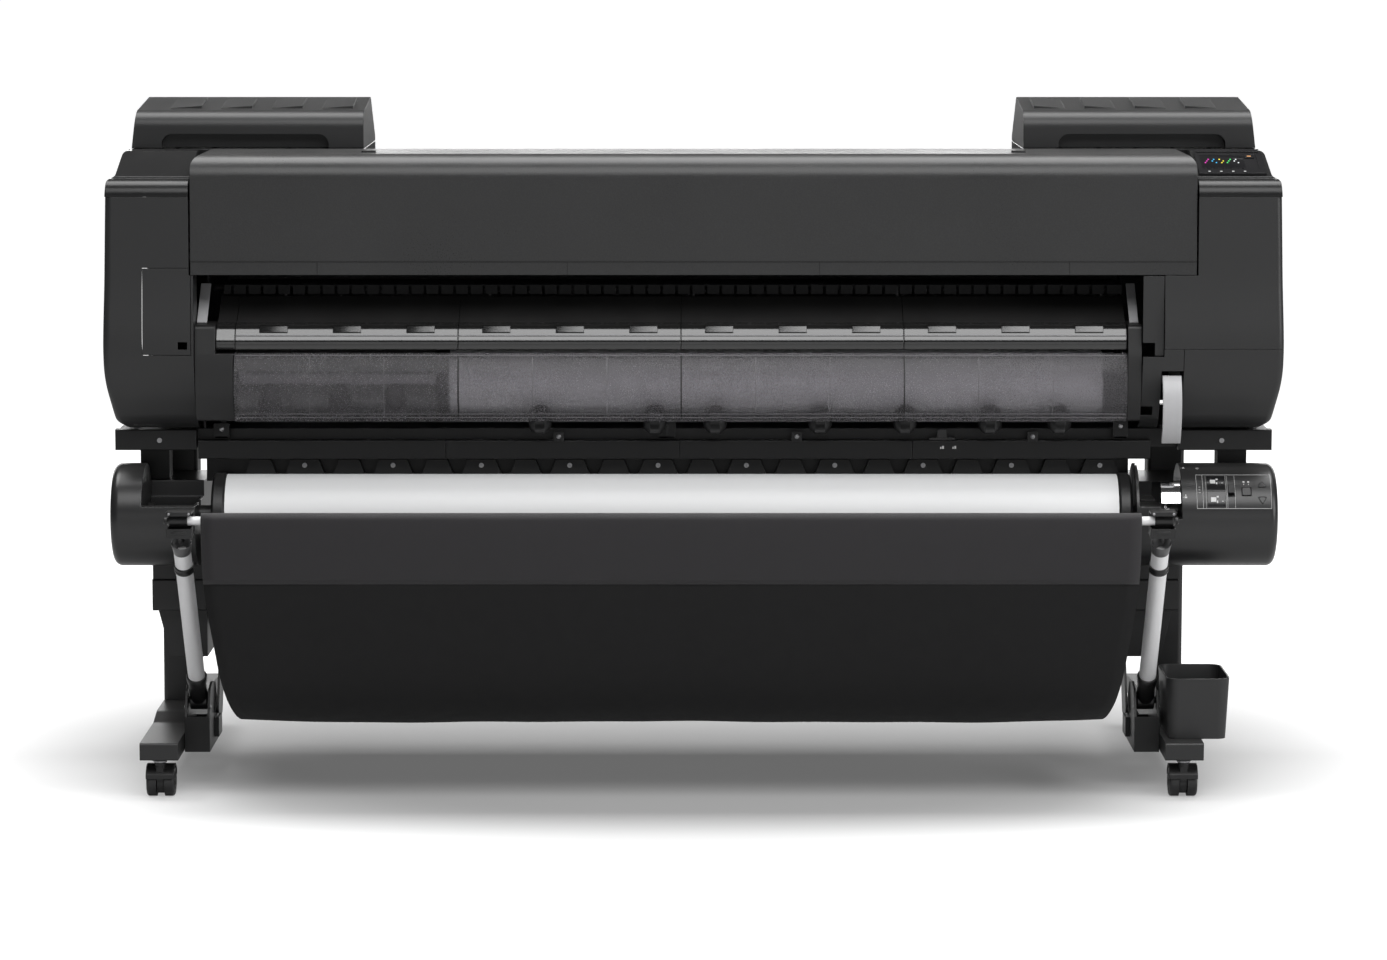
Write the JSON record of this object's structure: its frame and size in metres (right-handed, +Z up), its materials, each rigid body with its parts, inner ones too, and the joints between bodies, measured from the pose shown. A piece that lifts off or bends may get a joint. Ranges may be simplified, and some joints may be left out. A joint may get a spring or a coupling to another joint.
{
  "type": "large format plotter",
  "caption": "Roll-fed large format plotter on a rolling stand, with lifting top cover, ink tank covers, lower roll unit, smoked roll cover and folding cloth paper basket.",
  "frame": {"origin": "on the floor under the middle of the bounding box", "axes": "+X to the right of someone facing the front, +Y to the rear, +Z up"},
  "size_m": [1.999, 0.9, 1.1764],
  "materials": {
    "body_plastic": "fine pebbled dark grey moulding",
    "top_plastic": "mid grey moulding",
    "black_plastic": "black moulding",
    "silver_plastic": "silver painted moulding",
    "white_plastic": "off-white moulding",
    "dark_steel": "dark powder coat",
    "plated_steel": "zinc plated sheet",
    "silver_tube": "satin anodised",
    "chrome": "bright plate",
    "roller_rubber": "ground rubber",
    "caster_tyre": "nylon",
    "paper": "coated paper",
    "cloth": "woven polyester",
    "smoked": "smoked acrylic",
    "panel_black": "gloss black"
  },
  "bodies": {
    "machine": {"left_side_cover": "body_plastic", "right_side_cover": "body_plastic", "mouth_trims": "body_plastic", "left_shoulder": "black_plastic", "right_shoulder": "black_plastic", "ink_tanks": "white_plastic", "operation_panel": "panel_black", "chassis": "dark_steel", "rear_cover": "body_plastic", "power_inlet": "black_plastic", "platen": "black_plastic", "carriage_rail": "plated_steel", "ejection_guide": "black_plastic", "guide_nose": "body_plastic", "end_plates": "black_plastic", "side_stays": "silver_plastic", "maintenance_cartridge": "white_plastic", "front_rails": "dark_steel", "paper_guide_plates": "dark_steel", "screws": "plated_steel", "left_roll_housing": "body_plastic", "right_roll_housing": "body_plastic", "stand_legs": "dark_steel", "stand_feet": "dark_steel", "leg_covers": "black_plastic", "stand_crossbar": "dark_steel", "basket_brackets": "dark_steel", "basket_rear_bar": "silver_tube", "basket_cloth": "cloth", "accessory_pocket": "body_plastic"},
    "lid": {"top_cover": "body_plastic"},
    "left_hood": {"left_tank_cover": "top_plastic"},
    "right_hood": {"right_tank_cover": "top_plastic"},
    "window": {"roll_cover": "smoked"},
    "feed_release": {"release_lever": "silver_plastic"},
    "service_flap": {"maintenance_cover": "body_plastic"},
    "small_door": {"access_door": "body_plastic"},
    "upper_roll": {"upper_spool": "black_plastic", "upper_paper_roll": "paper"},
    "lower_roll": {"lower_spool": "black_plastic", "lower_paper_roll": "paper"},
    "spool_lock": {"lock_lever": "chrome"},
    "unit_switch": {"mode_switch": "black_plastic"},
    "unit_square_key": {"square_key": "panel_black"},
    "unit_up_key": {"up_key": "panel_black"},
    "unit_down_key": {"down_key": "panel_black"},
    "panel_power_key": {"power_key": "panel_black"},
    "rail_selector": {"selector_lever": "black_plastic"},
    "basket_frame": {"basket_arms": "silver_tube", "basket_bar": "silver_tube"},
    "print_carriage": {"carriage": "black_plastic"},
    "feed_shaft": {"feed_roller": "roller_rubber"},
    "front_left_swivel": {"front_left_caster_fork": "black_plastic"},
    "front_left_wheels": {"front_left_caster_wheels": "caster_tyre"},
    "rear_left_swivel": {"rear_left_caster_fork": "black_plastic"},
    "rear_left_wheels": {"rear_left_caster_wheels": "caster_tyre"},
    "front_right_swivel": {"front_right_caster_fork": "black_plastic"},
    "front_right_wheels": {"front_right_caster_wheels": "caster_tyre"},
    "rear_right_swivel": {"rear_right_caster_fork": "black_plastic"},
    "rear_right_wheels": {"rear_right_caster_wheels": "caster_tyre"}
  },
  "joints": [
    {"name": "top_cover_hinge", "type": "hinge", "parent": "machine", "child": "lid", "pos_m": [0, -0.032, 1.086], "axis": [-1, 0, 0], "range_deg": [0, 65]},
    {"name": "left_tank_cover_hinge", "type": "hinge", "parent": "machine", "child": "left_hood", "pos_m": [-0.7745, 0.3, 1.0962], "axis": [-1, 0, 0], "range_deg": [0, 60]},
    {"name": "right_tank_cover_hinge", "type": "hinge", "parent": "machine", "child": "right_hood", "pos_m": [0.7745, 0.3, 1.0962], "axis": [-1, 0, 0], "range_deg": [0, 60]},
    {"name": "roll_cover_hinge", "type": "hinge", "parent": "machine", "child": "window", "pos_m": [-0.02, -0.22, 0.752], "axis": [-1, 0, 0], "range_deg": [0, 70]},
    {"name": "release_lever_hinge", "type": "hinge", "parent": "machine", "child": "feed_release", "pos_m": [0.8105, -0.245, 0.714], "axis": [-1, 0, 0], "range_deg": [0, 35]},
    {"name": "maintenance_cover_hinge", "type": "hinge", "parent": "machine", "child": "service_flap", "pos_m": [0.915, -0.188, 0.626], "axis": [1, 0, 0], "range_deg": [0, 80]},
    {"name": "access_door_hinge", "type": "hinge", "parent": "machine", "child": "small_door", "pos_m": [-0.9315, -0.264, 0.83], "axis": [0, 0, -1], "range_deg": [0, 100]},
    {"name": "upper_roll_spin", "type": "hinge", "parent": "machine", "child": "upper_roll", "pos_m": [0.15, -0.118, 0.7], "axis": [1, 0, 0], "continuous": true},
    {"name": "lower_roll_spin", "type": "hinge", "parent": "machine", "child": "lower_roll", "pos_m": [-0.037, -0.172, 0.475], "axis": [1, 0, 0], "continuous": true},
    {"name": "lock_lever_hinge", "type": "hinge", "parent": "machine", "child": "spool_lock", "pos_m": [0.812, -0.172, 0.475], "axis": [-1, 0, 0], "range_deg": [0, 50]},
    {"name": "mode_switch_slide", "type": "slide", "parent": "machine", "child": "unit_switch", "axis": [0, 0.5878, 0.809], "range_m": [-0.006, 0]},
    {"name": "square_key_press", "type": "slide", "parent": "machine", "child": "unit_square_key", "axis": [0, 0.8387, -0.5446], "range_m": [0, 0.0008], "stiffness_N_per_m": 400},
    {"name": "up_key_press", "type": "slide", "parent": "machine", "child": "unit_up_key", "axis": [0, 0.7431, -0.6691], "range_m": [0, 0.0008], "stiffness_N_per_m": 400},
    {"name": "down_key_press", "type": "slide", "parent": "machine", "child": "unit_down_key", "axis": [0, 0.9232, -0.3843], "range_m": [0, 0.0008], "stiffness_N_per_m": 400},
    {"name": "power_key_press", "type": "slide", "parent": "machine", "child": "panel_power_key", "axis": [0, 0.2982, -0.9545], "range_m": [0, 0.0008], "stiffness_N_per_m": 400},
    {"name": "selector_slide", "type": "slide", "parent": "machine", "child": "rail_selector", "axis": [1, 0, 0], "range_m": [0, 0.0186]},
    {"name": "basket_fold", "type": "hinge", "parent": "machine", "child": "basket_frame", "pos_m": [-0.037, -0.16, 0.15], "axis": [1, 0, 0], "range_deg": [-17, 13], "deforming": ["basket_cloth"]},
    {"name": "carriage_slide", "type": "slide", "parent": "machine", "child": "print_carriage", "axis": [1, 0, 0], "range_m": [-1.575, 0]},
    {"name": "feed_roller_spin", "type": "hinge", "parent": "machine", "child": "feed_shaft", "pos_m": [0, 0.019, 0.85], "axis": [1, 0, 0], "continuous": true},
    {"name": "front_left_caster_swivel", "type": "hinge", "parent": "machine", "child": "front_left_swivel", "pos_m": [-0.91, -0.268, 0.05], "axis": [0, 0, 1], "continuous": true},
    {"name": "front_left_caster_roll", "type": "hinge", "parent": "front_left_swivel", "child": "front_left_wheels", "pos_m": [-0.91, -0.253, 0.025], "axis": [1, 0, 0], "continuous": true},
    {"name": "rear_left_caster_swivel", "type": "hinge", "parent": "machine", "child": "rear_left_swivel", "pos_m": [-0.91, 0.405, 0.05], "axis": [0, 0, 1], "continuous": true},
    {"name": "rear_left_caster_roll", "type": "hinge", "parent": "rear_left_swivel", "child": "rear_left_wheels", "pos_m": [-0.91, 0.42, 0.025], "axis": [1, 0, 0], "continuous": true},
    {"name": "front_right_caster_swivel", "type": "hinge", "parent": "machine", "child": "front_right_swivel", "pos_m": [0.836, -0.268, 0.05], "axis": [0, 0, 1], "continuous": true},
    {"name": "front_right_caster_roll", "type": "hinge", "parent": "front_right_swivel", "child": "front_right_wheels", "pos_m": [0.836, -0.253, 0.025], "axis": [1, 0, 0], "continuous": true},
    {"name": "rear_right_caster_swivel", "type": "hinge", "parent": "machine", "child": "rear_right_swivel", "pos_m": [0.836, 0.405, 0.05], "axis": [0, 0, 1], "continuous": true},
    {"name": "rear_right_caster_roll", "type": "hinge", "parent": "rear_right_swivel", "child": "rear_right_wheels", "pos_m": [0.836, 0.42, 0.025], "axis": [1, 0, 0], "continuous": true}
  ]
}
